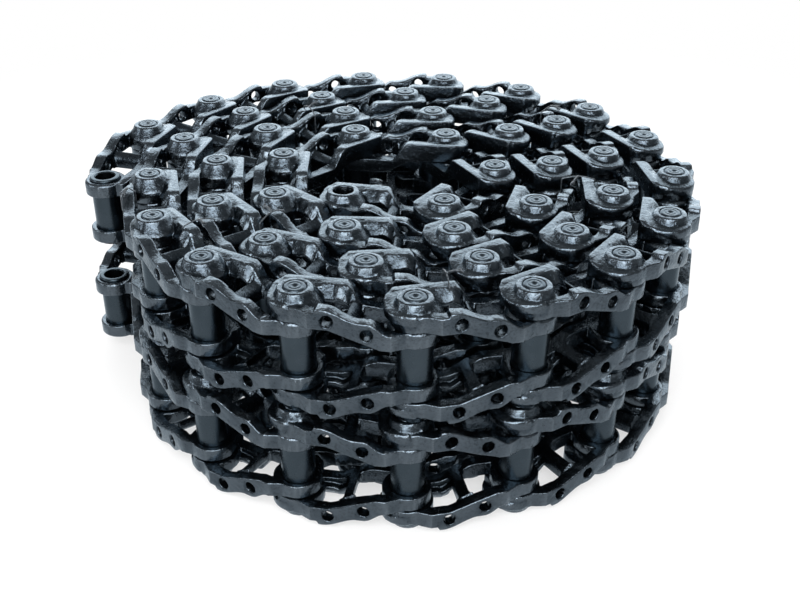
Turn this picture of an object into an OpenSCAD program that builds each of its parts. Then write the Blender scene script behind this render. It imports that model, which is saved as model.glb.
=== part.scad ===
// Pair of excavator track chains, each wound on its side into a flat coil and laid one on the other.
// Every chain is a row of sections. A section is two forged links, handed left and right, with a
// bushing pressed into one end of the pair and a pin pressed into the other. The pin turns in the
// bushing of the next section, and that is the hinge of the chain.
// A section is drawn with its bushing on the Z axis, its pin one pitch along +X and its shoe side at +Y.

/* [Track link] */
// Distance between the pin and the bushing of a section
pitch = 190; // [180:1:205]
// Radius of the forged eyes round the pin and the bushing
eye_r = 40; // [38:0.5:41]
// Height of the shoe face above the pin line
shoe_height = 53; // [50:0.5:54]
// Depth of the rail face below the pin line
rail_depth = 52; // [49:0.5:53]
// Thickness of the bar that carries the shoe
shoe_bar_t = 22; // [18:0.5:24]
// Thickness of the rail bar
rail_bar_t = 22; // [18:0.5:24]
// Distance that the rail runs past the pin
rail_past_pin = 30; // [24:1:34]
// Distance that the rail runs past the bushing
rail_past_bushing = 20; // [14:1:22]
// Radius of the corners of the rail
rail_round = 9; // [6:1:12]
// Width of the flat running face of the rail, at the pin end
rail_top_w = 12; // [10:0.5:14]
// Distance from the pin line to each end of the shoe face, along the chain
shoe_end = 30; // [26:1:34]
// Width of the strut between the two nut windows
strut_w = 17; // [12:1:22]
// Radius of the corners of the nut windows
window_round = 8; // [4:1:10]
// Wall left round an eye beside its window
eye_wall = 4; // [2:0.5:6]
// Clear width between the two links at the bushing end, where the sprocket tooth goes
tooth_gap = 74; // [66:1:80]
// Width of the eye that holds the bushing
bushing_eye_w = 27.5; // [25:0.5:30]
// Width of the rail and the shoe bar at the pin end
pin_eye_w = 36; // [34:0.5:38]
// Width of the eye that holds the pin, up to the foot of its boss
pin_plate_w = 29; // [26:0.5:31]
// Side play between lapped eyes of neighbouring sections
side_play = 1; // [0.5:0.1:2]
// Radius of the pin boss at its foot
boss_foot_r = 33.5; // [32:0.5:35]
// Radius of the flat end of the pin boss
boss_top_r = 28.5; // [26:0.5:29]
// Width of the sloped rim round the end of the pin boss and round the eyes
rim = 4; // [2:0.5:5]

/* [Shoe bolts] */
// Diameter of the shoe bolt holes
bolt_d = 20.5; // [16.5:0.5:22]
// Distance between the two bolt holes of a link, along the chain
bolt_spacing = 62; // [56:1:66]
// Distance of the middle of the two holes from the middle of the pitch, towards the pin
bolt_shift = 3; // [0:0.5:5]
// Distance across the chain between the holes near the bushing
bolt_span_narrow = 124.4; // [120:0.2:128]
// Distance across the chain between the holes near the pin
bolt_span_wide = 160.4; // [156:0.2:166]

/* [Pins, bushings and seals] */
// Diameter of the pin
pin_d = 38; // [34:0.5:40]
// Length of the pin, which is also the height of one coil
pin_len = 221; // [218:0.5:226]
// Outside diameter of the bushing
bushing_d = 59; // [54:0.5:62]
// Length of the bushing
bushing_len = 139; // [134:0.5:143]
// Radial running clearance of the pin in the bushing
running_clearance = 0.05; // [0.02:0.01:0.1]
// Chamfer on the ends of the pin and the bushing
end_chamfer = 2; // [1:0.5:3]
// Depth of the seal pocket in the inner face of a pin eye
seal_pocket = 10; // [8:0.5:12]
// Radial clearance round the bushing end in the seal pocket
pocket_clearance = 2.5; // [1.5:0.5:4]
// Clearance between a seal and the face that it runs against
seal_clearance = 0.3; // [0.1:0.1:0.5]

/* [Coil] */
// Radius of the spiral at the outer end of the chain
coil_r = 585; // [480:1:660]
// Least radius of the spiral at the inner end of the chain
core_r = 140; // [130:1:180]
// Distance between neighbouring turns of the spiral
turn_spacing = 114; // [113:0.5:116]
// Gap between the lower and the upper coil
stack_gap = 0.4; // [0.2:0.1:0.8]
// Distance that the upper coil lies off the lower one, along X
stack_shift_x = 10; // [0:0.5:12]
// Distance that the upper coil lies off the lower one, along Y
stack_shift_y = 3; // [0:0.5:6]

/* [Tie wires] */
// Diameter of the tie wire
wire_d = 3; // [2:0.5:4]
// Bend radius of the wire loops
wire_bend = 3.5; // [3:0.1:3.8]
// Clearance between a wire and the bars that it holds
wire_clearance = 0.8; // [0.7:0.05:0.95]
// Number of sections from one tie to the next
tie_step = 5; // [3:1:8]

/* [Hidden] */
$fn = 48;
free_sections = 4;
chord_tries = 8;

// Heights across the chain, from its middle plane
bushing_eye_in = tooth_gap / 2;
bushing_eye_out = bushing_eye_in + bushing_eye_w;
pin_eye_in = bushing_eye_out + side_play;
pin_eye_out = pin_eye_in + pin_eye_w;
pin_end = pin_len / 2;
pin_proud = 1;
boss_out = pin_end - pin_proud;
bushing_end = bushing_len / 2;
pocket_floor = pin_eye_in + seal_pocket;
lap_clearance = 2;
lap_r = eye_r + lap_clearance;
plate_top = pin_eye_in + pin_plate_w;

// Bolt holes, from the bushing along the chain and from the middle plane across it
bolt_near_x = pitch / 2 + bolt_shift - bolt_spacing / 2;
bolt_far_x = bolt_near_x + bolt_spacing;
bolt_near_z = bolt_span_narrow / 2;
bolt_far_z = bolt_span_wide / 2;
bolt_holes = [[bolt_near_x, bolt_near_z], [bolt_far_x, bolt_far_z]];

// Walls of the nut windows
window_top = shoe_height - shoe_bar_t;
window_bottom = -(rail_depth - rail_bar_t);
strut_x = (bolt_near_x + bolt_far_x) / 2;

// The rail and the eyes step out across the chain between the sweeps of the lapped rail ends
function corner_sweep(past) = norm([past - rail_round, rail_depth - rail_round]) + rail_round;
step_start = corner_sweep(rail_past_pin) + lap_clearance;
step_end = pitch - corner_sweep(rail_past_bushing) - lap_clearance;
step_lead = 10;
step_parts = 2;
band_x0 = -eye_r - rim;
band_x1 = pitch + eye_r + rim;

// Pins of the spiral. Its radius falls by turn_spacing in a turn, and neighbours lie one pitch apart.
function spiral_r(turn) = coil_r - turn_spacing * turn / 360;
function chord(r0, r1, step) = sqrt(r0 * r0 + r1 * r1 - 2 * r0 * r1 * cos(step));
function step_to_next(turn, step, tries) =
    tries == 0 ? step
    : step_to_next(turn, step * pitch / chord(spiral_r(turn), spiral_r(turn + step), step), tries - 1);
function next_turn(turn) = turn + step_to_next(turn, 2 * asin(pitch / 2 / spiral_r(turn)), chord_tries);
function turns_from(turn) =
    spiral_r(next_turn(turn)) < core_r ? [turn] : concat([turn], turns_from(next_turn(turn)));
function on_spiral(turn) = spiral_r(turn) * [cos(-turn), sin(-turn)];
function heading(a, b) = atan2(b.y - a.y, b.x - a.x);
function turned(p, angle) = [p.x * cos(angle) - p.y * sin(angle), p.x * sin(angle) + p.y * cos(angle)];
function middle(list) = (min(list) + max(list)) / 2;

// The spiral is turned until the first section lies along +Y, and its box is centred on the origin
turns = turns_from(0);
raw_pins = [for (turn = turns) on_spiral(turn)];
lay_angle = 90 - heading(raw_pins[0], raw_pins[1]);
laid_pins = [for (p = raw_pins) turned(p, lay_angle)];
box_middle = [middle([for (p = laid_pins) p.x]), middle([for (p = laid_pins) p.y])];
pins = [for (p = laid_pins) p - box_middle];
sections = len(pins) - 1;
inner_section = sections - 1;
wound = [for (i = [free_sections : inner_section - 1]) i];
function section_angle(i) = heading(pins[i], pins[i + 1]);
function to_world(i, p) = pins[i] + turned(p, section_angle(i));

// The two chains, with the middle of each
chains = ["lower", "upper"];
stack_shift = [stack_shift_x, stack_shift_y, pin_len + stack_gap];
function chain_middle(chain) =
    [-stack_shift.x / 2, -stack_shift.y / 2, pin_end] + (chain == "upper" ? stack_shift : [0, 0, 0]);

// A wire tie goes round the rail of one turn and the shoe bar of the next. In every few sections it takes
// the two bolt holes, one in each turn, between which it is shortest.
leg = wire_d / 2 + wire_clearance;
function tie_start(i, hole) = to_world(i, [bolt_holes[hole].x, window_bottom + leg]);
function tie_end(i, hole) = to_world(i, [bolt_holes[hole].x, window_top - leg]);
function tie_choices(first) = [
    for (i = [first : first + tie_step - 2], j = [first + tie_step : inner_section - 1])
        for (m = [0, 1], n = [0, 1]) [tie_start(i, m), tie_end(j, n)]];
function span(tie) = norm(tie[1] - tie[0]);
function shortest(choices) =
    let (least = min([for (tie = choices) span(tie)])) [for (tie = choices) if (span(tie) == least) tie][0];
function has_turn_inside(i) = turns[i + tie_step] + 360 < turns[inner_section];
tied = [for (i = [free_sections : tie_step : inner_section - tie_step]) if (has_turn_inside(i)) i];
ties = [for (first = tied) shortest(tie_choices(first))];
// A wire ring hangs on the shoe bar of the section that lies beside the outer end, at its far bolt hole
ring_section = len([for (turn = turns) if (turn < 360) turn]) - 2;

single_kinds = ["left_link", "right_link", "bushing", "pin", "seals"];
wound_kinds = ["left_links", "right_links", "bushings", "pins", "seals"];
inner_kinds = ["left_link", "right_link", "bushing"];

forged = "#3a434a";
machined = "#4a545b";
rubber = "#202326";
wire_colour = "#8a8f93";

// Side of a link, seen along the pins, before its windows are cut
module link_side() {
    shoulder = eye_r - rim;
    rail_x0 = -rail_past_bushing;
    rail_x1 = pitch + rail_past_pin;
    circle(r = eye_r);
    translate([pitch, 0]) circle(r = eye_r);
    for (x = [rail_x0 + rail_round, rail_x1 - rail_round])
        translate([x, -rail_depth + rail_round]) circle(r = rail_round);
    polygon([
        [0, shoulder], [shoe_end, shoe_height], [pitch - shoe_end, shoe_height], [pitch, shoulder],
        [rail_x1, on_eye(rail_past_pin)], [rail_x1, -rail_depth + rail_round],
        [rail_x1 - rail_round, -rail_depth], [rail_x0 + rail_round, -rail_depth],
        [rail_x0, -rail_depth + rail_round], [rail_x0, on_eye(rail_past_bushing)]
    ]);
}

// Rail side of an eye's edge, at a distance from its axis along the chain
function on_eye(x) = -sqrt(eye_r * eye_r - x * x);

// The two nut windows, with round corners at the strut and a curved wall round each eye
module windows_side() {
    difference() {
        union() {
            rounded_slot(0, strut_x - strut_w / 2);
            rounded_slot(strut_x + strut_w / 2, pitch);
        }
        circle(r = eye_r + eye_wall);
        translate([pitch, 0]) circle(r = eye_r + eye_wall);
    }
}

module rounded_slot(x0, x1) {
    r = window_round;
    translate([x0, window_bottom + r]) square([x1 - x0, window_top - window_bottom - 2 * r]);
    translate([x0 + r, window_bottom]) square([x1 - x0 - 2 * r, window_top - window_bottom]);
    for (x = [x0 + r, x1 - r], y = [window_bottom + r, window_top - r]) translate([x, y]) circle(r = r);
}

// Points of a smooth step from one height across the chain to another
function step_points(x0, x1, z0, z1) =
    [for (k = [0 : step_parts]) let (t = k / step_parts)
        [x0 + (x1 - x0) * t, z0 + (z1 - z0) * (1 - cos(180 * t)) / 2]];
function reversed(list) = [for (k = [len(list) - 1 : -1 : 0]) list[k]];

// A band across the chain, between the points of its inner and its outer edge
module band(inner, outer) {
    polygon(concat(
        [[band_x0, inner[0].y]], inner, [[band_x1, inner[len(inner) - 1].y]],
        [[band_x1, outer[len(outer) - 1].y]], reversed(outer), [[band_x0, outer[0].y]]));
}

// The rail steps out from the level of the bushing eye to that of the pin eye
module rail_band() {
    band(
        step_points(step_start, step_end, bushing_eye_in, pin_eye_in),
        step_points(step_start, step_end - step_lead, bushing_eye_out, pin_eye_out));
}

// The eyes and the strut follow the rail a little lower, so that the strut lies between the bars
module eye_band() {
    band(
        step_points(step_start, step_end, bushing_eye_in, pin_eye_in),
        step_points(step_start + step_lead, step_end, bushing_eye_out, plate_top));
}

// The shoe bar swells round the two bolt holes and drops to the eye behind the second
module shoe_band() {
    r = bolt_d / 2;
    bar_end = bolt_far_x + bolt_d;
    band(
        step_points(bolt_near_x - bolt_d, bolt_far_x, bushing_eye_in, pin_eye_in),
        concat(
            step_points(shoe_end, bolt_near_x, bushing_eye_out, bolt_near_z + bolt_d),
            step_points(bolt_near_x + r, bolt_far_x + r, bolt_near_z + bolt_d, pin_eye_out),
            [[bar_end - rim, pin_eye_out], [bar_end, plate_top]]));
}

// One layer of a link: the side outline between two heights, held to a band across the chain
module layer(y0, y1) {
    intersection() {
        linear_extrude(pin_end) intersection() {
            difference() {
                link_side();
                windows_side();
            }
            translate([band_x0, y0]) square([band_x1 - band_x0, y1 - y0]);
        }
        translate([0, y1, 0]) rotate([90, 0, 0]) linear_extrude(y1 - y0) children();
    }
}

// Cuts a slope on the edge of an eye, round part of a turn. The eye's face lies at the origin and looks
// along +Z.
module eye_slope(start = 0, angle = 360) {
    far_r = eye_r + 2 * eye_wall;
    near_r = eye_r - rim;
    rotate(start) rotate_extrude(angle = angle)
        polygon([[near_r, 0], [near_r, rim], [far_r, rim], [far_r, near_r - far_r]]);
}

module bushing_eye_slope(start = 0, angle = 360) {
    translate([0, 0, bushing_eye_out]) eye_slope(start, angle);
}

module pin_eye_slope(start = 0, angle = 360) {
    translate([pitch, 0, plate_top]) eye_slope(start, angle);
}

// Cuts the slope between the running face of the rail and the pin eye
module rail_slope() {
    top_y = -rail_depth + rail_top_w;
    foot_y = -eye_r + rim;
    translate([band_x0, 0, 0]) rotate([90, 0, 90]) linear_extrude(band_x1 - band_x0) polygon([
        [top_y, pin_eye_out], [foot_y, plate_top], [window_bottom + rim, plate_top],
        [window_bottom + rim, pin_eye_out + rim], [top_y, pin_eye_out + rim]
    ]);
}

module pin_boss() {
    translate([pitch, 0, 0]) rotate_extrude() polygon([
        [0, pin_eye_in], [boss_foot_r, pin_eye_in], [boss_foot_r, plate_top],
        [boss_top_r + rim / 2, boss_out - rim / 2], [boss_top_r, boss_out], [0, boss_out]
    ]);
}

module link_blank() {
    difference() {
        layer(-rail_depth, window_bottom) rail_band();
        rail_slope();
        bushing_eye_slope(180, acos(rail_past_bushing / (eye_r - rim)));
    }
    difference() {
        layer(window_bottom, window_top) eye_band();
        pin_eye_slope();
        bushing_eye_slope();
    }
    difference() {
        layer(window_top, shoe_height) shoe_band();
        pin_eye_slope(-90, 180);
        bushing_eye_slope(90, 180);
    }
    pin_boss();
}

module left_link() {
    color(forged) difference() {
        link_blank();
        translate([0, 0, bushing_eye_out]) cylinder(r = lap_r, h = pin_len);
        translate([pitch, 0, 0]) cylinder(r = lap_r, h = pin_eye_in);
        cylinder(d = bushing_d, h = pin_len);
        translate([pitch, 0, 0]) {
            cylinder(d = pin_d, h = pin_len);
            cylinder(r = bushing_d / 2 + pocket_clearance, h = pocket_floor);
            translate([0, 0, boss_out - end_chamfer])
                cylinder(r1 = pin_d / 2, r2 = pin_d / 2 + 2 * end_chamfer, h = 2 * end_chamfer);
        }
        for (hole = bolt_holes)
            translate([hole.x, 0, hole.y]) rotate([-90, 0, 0]) cylinder(d = bolt_d, h = 2 * shoe_height);
    }
}

module right_link() {
    mirror([0, 0, 1]) left_link();
}

// A turned piece on the Z axis, from its half outline
module turned_piece(outline) {
    rotate_extrude() polygon(outline);
}

module bushing() {
    outer = bushing_d / 2;
    bore = pin_d / 2 + running_clearance;
    c = end_chamfer;
    color(machined) turned_piece([
        [bore, -bushing_end], [outer - c, -bushing_end], [outer, -bushing_end + c],
        [outer, bushing_end - c], [outer - c, bushing_end], [bore, bushing_end]
    ]);
}

// Pin with chamfered ends and a shallow turning centre in each
module pin() {
    r = pin_d / 2;
    c = end_chamfer;
    centre_r = r / 3;
    centre_depth = c;
    color(machined) translate([pitch, 0, 0]) turned_piece([
        [0, -pin_end + centre_depth], [centre_r, -pin_end], [r - c, -pin_end], [r, -pin_end + c],
        [r, pin_end - c], [r - c, pin_end], [centre_r, pin_end], [0, pin_end - centre_depth]
    ]);
}

// Dished seal ring, one in each seal pocket, with its lip towards the bushing
module seals() {
    outer = bushing_d / 2 + pocket_clearance - seal_clearance;
    inner = pin_d / 2 + seal_clearance;
    lip = bushing_end + seal_clearance;
    waist = (lip + pocket_floor) / 2;
    color(rubber) translate([pitch, 0, 0]) for (side = [0, 1]) mirror([0, 0, side]) turned_piece([
        [inner, waist], [(inner + outer) / 2, lip], [bushing_d / 2 - end_chamfer, lip],
        [outer, waist], [outer, pocket_floor], [inner, pocket_floor]
    ]);
}

module piece(kind) {
    if (kind == "left_link") left_link();
    if (kind == "right_link") right_link();
    if (kind == "bushing") bushing();
    if (kind == "pin") pin();
    if (kind == "seals") seals();
}

// Places a piece of section i in its chain
module in_section(chain, i) {
    translate(chain_middle(chain)) translate(pins[i]) rotate(section_angle(i)) children();
}

module wound_pieces(chain, kind) {
    for (i = wound) in_section(chain, i) piece(kind);
}

// One wire loop between two upright legs, from z0 to z1
module wire_loop(legs, z0, z1) {
    b = wire_bend;
    w = span(legs);
    h = z1 - z0;
    translate(concat(legs[0], z0)) rotate(heading(legs[0], legs[1])) rotate([90, 0, 0]) {
        for (x = [0, w])
            translate([x, b, 0]) rotate([-90, 0, 0]) cylinder(d = wire_d, h = h - 2 * b);
        for (y = [0, h])
            translate([b, y, 0]) rotate([0, 90, 0]) cylinder(d = wire_d, h = w - 2 * b);
        for (corner = [[b, b, 180], [w - b, b, 270], [w - b, h - b, 0], [b, h - b, 90]])
            translate([corner[0], corner[1], 0]) rotate(corner[2])
                rotate_extrude(angle = 90) translate([b, 0]) circle(d = wire_d);
    }
}

// Each tie goes down through a window of one turn, under its rail and the next turn's shoe bar, and up again
module tie_wires() {
    high = pin_eye_out + leg;
    ring_legs = [for (y = [shoe_height + leg, window_top - leg]) to_world(ring_section, [bolt_far_x, y])];
    color(wire_colour) translate(chain_middle("upper")) {
        for (tie = ties) wire_loop(tie, bushing_eye_in - leg, high);
        wire_loop(ring_legs, pin_eye_in - leg, high);
    }
}

for (c = chains) {
    for (k = [0 : len(wound_kinds) - 1])
        wound_pieces(c, single_kinds[k]);
    for (i = [1 : free_sections], kind = single_kinds)
        in_section(c, i - 1) piece(kind);
    for (kind = inner_kinds)
        in_section(c, inner_section) piece(kind);
}
tie_wires();
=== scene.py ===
"""Dresses two wound excavator track chains: forged links, turned pins and bushings, seals and tie wires."""
import logging
import math
import random
from dataclasses import dataclass
from enum import Enum
from typing import Any, Optional, Sequence, Union

import bmesh
import bpy
from mathutils import Matrix, Vector
from mathutils.bvhtree import BVHTree


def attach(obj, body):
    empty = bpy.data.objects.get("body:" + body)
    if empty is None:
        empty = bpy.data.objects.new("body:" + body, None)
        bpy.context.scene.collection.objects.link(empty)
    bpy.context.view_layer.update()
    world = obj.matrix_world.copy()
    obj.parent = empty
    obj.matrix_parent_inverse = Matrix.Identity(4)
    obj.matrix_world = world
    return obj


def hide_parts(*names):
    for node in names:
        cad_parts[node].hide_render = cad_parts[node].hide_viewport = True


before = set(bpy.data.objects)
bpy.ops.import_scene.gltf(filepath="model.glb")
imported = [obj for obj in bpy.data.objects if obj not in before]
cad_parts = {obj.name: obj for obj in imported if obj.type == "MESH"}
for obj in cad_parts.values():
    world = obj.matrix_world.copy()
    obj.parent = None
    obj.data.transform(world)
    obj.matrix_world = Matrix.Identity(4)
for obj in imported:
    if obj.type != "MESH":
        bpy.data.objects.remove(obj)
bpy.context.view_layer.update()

LOG = logging.getLogger("track_chain")
Colour = tuple[float, float, float]
Outline = tuple[tuple[float, float], ...]


class Chain(Enum):
    """The two chains of the stack."""

    LOWER = "lower"
    UPPER = "upper"


class Hand(Enum):
    """The two links of a section, on either side of its middle plane."""

    LEFT = "left"
    RIGHT = "right"


@dataclass(frozen=True)
class ChainLayout:
    """Where the sections of a wound chain lie. Sizes are in metres."""

    pitch: float = 0.190
    coil_r: float = 0.585
    turn_spacing: float = 0.114
    sections: int = 46
    free_sections: int = 4
    pin_len: float = 0.221
    stack_gap: float = 0.0004
    stack_shift: tuple[float, float] = (0.010, 0.003)

    def spiral_r(self, turn: float) -> float:
        """Radius of the spiral after a turn in radians."""
        return self.coil_r - self.turn_spacing * turn / math.tau

    def turns(self) -> list[float]:
        """Turn of every pin along the spiral, so that neighbours lie one pitch apart.

        Returns:
            The turns in radians, from the outer end inwards.
        """
        turns = [0.0]
        while len(turns) <= self.sections:
            start = turns[-1]
            r0 = self.spiral_r(start)
            step = self.pitch / r0
            for _ in range(8):
                r1 = self.spiral_r(start + step)
                step *= self.pitch / math.sqrt(r0 * r0 + r1 * r1 - 2 * r0 * r1 * math.cos(step))
            turns.append(start + step)
        return turns

    def pins(self) -> list[Vector]:
        """Pin centres seen from above, with the first section along +Y and the box of the pins centred."""
        raw = [Vector((math.cos(-t), math.sin(-t))) * self.spiral_r(t) for t in self.turns()]
        lead = raw[1] - raw[0]
        lay = Matrix.Rotation(math.pi / 2 - math.atan2(lead.y, lead.x), 2)
        laid = [lay @ p for p in raw]
        middle = Vector([(min(p[k] for p in laid) + max(p[k] for p in laid)) / 2 for k in (0, 1)])
        return [p - middle for p in laid]

    def heading(self, section: int) -> float:
        """Direction of a section along the chain, in radians."""
        pins = self.pins()
        way = pins[section + 1] - pins[section]
        return math.atan2(way.y, way.x)

    def middle(self, chain: Chain) -> Vector:
        """Middle of a chain. The upper coil lies a little off the lower one."""
        upper = chain is Chain.UPPER
        shift_x, shift_y = (d / 2 if upper else -d / 2 for d in self.stack_shift)
        return Vector((shift_x, shift_y, self.pin_len / 2 + upper * (self.pin_len + self.stack_gap)))

    def place(self, chain: Chain, section: int) -> Matrix:
        """Matrix from a section's own frame to the row frame."""
        spot = self.pins()[section].to_3d() + self.middle(chain)
        return Matrix.Translation(spot) @ Matrix.Rotation(self.heading(section), 4, "Z")

    def wound(self) -> range:
        """Sections that lie in the wound turns."""
        return range(self.free_sections, self.sections - 1)


class Sock:
    """A shader value that takes part in Python arithmetic: each operation adds a Math node."""

    def __init__(self, tree: "ShaderTree", socket: bpy.types.NodeSocket) -> None:
        """Wraps an output socket of a tree."""
        self.tree = tree
        self.socket = socket

    def _math(self, operation: str, *values: Any) -> "Sock":
        """Adds a Math node.

        Args:
            operation: The Math node's operation.
            values: Its inputs in order, numbers or wrapped sockets.

        Returns:
            The wrapped result.
        """
        return self.tree.node("ShaderNodeMath", {"operation": operation}, dict(enumerate(values)))

    def __add__(self, other: Any) -> "Sock":
        """Sum."""
        return self._math("ADD", self, other)

    def __radd__(self, other: Any) -> "Sock":
        """Sum with a number on the left."""
        return self._math("ADD", other, self)

    def __sub__(self, other: Any) -> "Sock":
        """Difference."""
        return self._math("SUBTRACT", self, other)

    def __mul__(self, other: Any) -> "Sock":
        """Product."""
        return self._math("MULTIPLY", self, other)

    def __rmul__(self, other: Any) -> "Sock":
        """Product with a number on the left."""
        return self._math("MULTIPLY", other, self)

    def larger(self, other: Any) -> "Sock":
        """The larger of two values."""
        return self._math("MAXIMUM", self, other)

    def between(self, low: float, high: float) -> "Sock":
        """Rises from 0 to 1 as the value goes from low to high, and stays in that range."""
        return self.tree.node(
            "ShaderNodeMapRange", {"interpolation_type": "SMOOTHSTEP"},
            {"Value": self, "From Min": low, "From Max": high}, "Result")


class ShaderTree:
    """Builds the node tree of one material, or of the world."""

    def __init__(self, owner: Union[bpy.types.Material, bpy.types.World]) -> None:
        """Starts from an empty tree."""
        self.owner = owner
        owner.use_nodes = True
        self.tree = owner.node_tree
        self.tree.nodes.clear()

    @classmethod
    def of(cls, name: str) -> "ShaderTree":
        """Starts a new material of that name."""
        return cls(bpy.data.materials.new(name))

    def node(self, kind: str, settings: dict[str, Any], values: dict[Any, Any],
             output: Union[str, int] = 0) -> Sock:
        """Adds any node.

        Args:
            kind: The node's type.
            settings: Properties that are set first.
            values: Input name or index to a value or a wrapped socket.
            output: The output that is wanted.

        Returns:
            The wrapped output.
        """
        made = self.tree.nodes.new(kind)
        for key, value in settings.items():
            setattr(made, key, value)
        for key, value in values.items():
            if isinstance(value, Sock):
                self.tree.links.new(value.socket, made.inputs[key])
            else:
                made.inputs[key].default_value = value
        return Sock(self, made.outputs[output])

    def spot(self) -> Sock:
        """Object coordinates."""
        return self.node("ShaderNodeTexCoord", {}, {}, "Object")

    def attribute(self, name: str) -> Sock:
        """A number stored on the mesh."""
        return self.node("ShaderNodeAttribute", {"attribute_name": name}, {}, "Fac")

    def grain(self, scale: float, detail: float = 4.0, rough: float = 0.55) -> Sock:
        """Noise of a given number of patches in a metre."""
        return self.node("ShaderNodeTexNoise", {}, {
            "Vector": self.spot(), "Scale": scale, "Detail": detail, "Roughness": rough})

    def mix(self, factor: Sock, low: Any, high: Any) -> Sock:
        """Mixes two colours, each a colour or a wrapped socket."""
        colours = {6: low, 7: high}
        values = {k: v if isinstance(v, Sock) else (*v, 1.0) for k, v in colours.items()}
        return self.node("ShaderNodeMix", {"data_type": "RGBA"}, {0: factor, **values}, 2)

    def bump(self, height: Sock, strength: float, distance: float, under: Optional[Sock] = None) -> Sock:
        """Bump of a height field, over another bump where one is given."""
        values = {"Height": height, "Strength": strength, "Distance": distance}
        if under is not None:
            values["Normal"] = under
        return self.node("ShaderNodeBump", {}, values)

    def surface(self, values: dict[str, Any]) -> bpy.types.Material:
        """Ends the tree in a Principled shader with these inputs.

        Args:
            values: Input name to a number, a colour or a wrapped socket.

        Returns:
            The finished material.
        """
        return self.end(self.node("ShaderNodeBsdfPrincipled", {}, values), "ShaderNodeOutputMaterial")

    def end(self, shader: Sock, kind: str) -> Any:
        """Ends the tree in an output node of some kind, and gives back its owner."""
        out = self.tree.nodes.new(kind)
        self.tree.links.new(shader.socket, out.inputs["Surface"])
        return self.owner

    def seen(self) -> Sock:
        """1 where a ray comes straight from the camera or by way of a mirror or glass, and 0 elsewhere."""
        kinds = ("Is Camera Ray", "Is Glossy Ray", "Is Transmission Ray")
        camera, glossy, through = (self.node("ShaderNodeLightPath", {}, {}, kind) for kind in kinds)
        return camera.larger(glossy).larger(through)


@dataclass(frozen=True)
class ForgedPaint:
    """Dark glossy paint with a steely lustre on the pebbled skin of a forged link, with a painted sheen on
    flat faces, a painted highlight on edges and painted shade in hollows.
    """

    # speck_and_shade: dark of the pebble specks on the forged skin, and the painted shade in the hollows of
    # the link
    speck_and_shade: Colour = (0.008, 0.011, 0.014)
    body: Colour = (0.036, 0.048, 0.060)
    lit: Colour = (0.062, 0.079, 0.096)
    # flat_sheen: painted sheen, a lighter colour on faces that lie flat, facing up or down
    flat_sheen: Colour = (0.112, 0.138, 0.161)
    # edge_highlight: painted highlight, a lighter colour along the edges that stand out
    edge_highlight: Colour = (0.128, 0.154, 0.178)
    rim: Colour = (0.86, 0.94, 1.0)
    pebbles: float = 240.0
    dents: float = 95.0
    patches: float = 26.0
    roughness: float = 0.12

    def material(self) -> bpy.types.Material:
        """Builds the material.

        Returns:
            The finished material.
        """
        t = ShaderTree.of("forged_paint")
        pebble = t.grain(self.pebbles, 3.0, 0.6)
        dent = t.grain(self.dents, 3.0, 0.55)
        patch = t.grain(self.patches, 4.0, 0.6)
        edge = t.attribute("edge")
        hollow = t.attribute("hollow")
        flat = t.attribute("flat")
        cast = t.attribute("cast")
        tone = t.mix(patch.between(0.38, 0.70) * 0.70 + cast * 0.20, self.body, self.lit)
        # painted sheen: lighter on faces that lie flat
        tone = t.mix(flat * 0.68, tone, self.flat_sheen)
        tone = t.mix(pebble.between(0.50, 0.66) * 0.65, tone, self.speck_and_shade)
        # painted shade: darker where the link's own hollows shut out the light
        tone = t.mix(hollow * 0.70, tone, self.speck_and_shade)
        # painted highlight: lighter along the edges that stand out
        tone = t.mix(edge * 0.70, tone, self.edge_highlight)
        rough = self.roughness + pebble * 0.18 + dent * 0.08 - edge * 0.04
        skin = t.bump(dent, 0.45, 0.0030)
        skin = t.bump(pebble, 0.50, 0.0012, skin)
        return t.surface({
            "Base Color": tone, "Metallic": 1.0, "Roughness": rough, "Specular Tint": (*self.rim, 1.0),
            "Normal": skin})


@dataclass(frozen=True)
class GroundPaint:
    """The same paint on the smooth ground wall of a bushing."""

    body: Colour = (0.036, 0.049, 0.060)
    lit: Colour = (0.050, 0.066, 0.080)
    rim: Colour = (0.86, 0.94, 1.0)
    streaks: float = 30.0
    roughness: float = 0.20

    def material(self) -> bpy.types.Material:
        """Builds the material.

        Returns:
            The finished material.
        """
        t = ShaderTree.of("ground_paint")
        cloud = t.grain(self.streaks, 3.0)
        peel = t.grain(self.streaks * 14, 2.0)
        cast = t.attribute("cast")
        tone = t.mix(cloud.between(0.35, 0.75) * 0.4 + cast * 0.2, self.body, self.lit)
        return t.surface({
            "Base Color": tone, "Metallic": 1.0, "Roughness": self.roughness + cloud * 0.14,
            "Specular Tint": (*self.rim, 1.0), "Normal": t.bump(peel, 0.20, 0.0005)})


@dataclass(frozen=True)
class TurnedPaint:
    """Paint over the turned face of a pin end."""

    body: Colour = (0.037, 0.049, 0.061)
    lit: Colour = (0.074, 0.094, 0.112)
    rim: Colour = (0.86, 0.94, 1.0)
    mottling: float = 190.0
    roughness: float = 0.20

    def material(self) -> bpy.types.Material:
        """Builds the material.

        Returns:
            The finished material.
        """
        t = ShaderTree.of("turned_paint")
        mottle = t.grain(self.mottling, 3.0)
        cast = t.attribute("cast")
        tone = t.mix(mottle.between(0.4, 0.7) * 0.5 + cast * 0.3, self.body, self.lit)
        return t.surface({
            "Base Color": tone, "Metallic": 1.0, "Roughness": self.roughness + mottle * 0.2,
            "Specular Tint": (*self.rim, 1.0), "Normal": t.bump(mottle, 0.40, 0.0010)})


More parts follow.
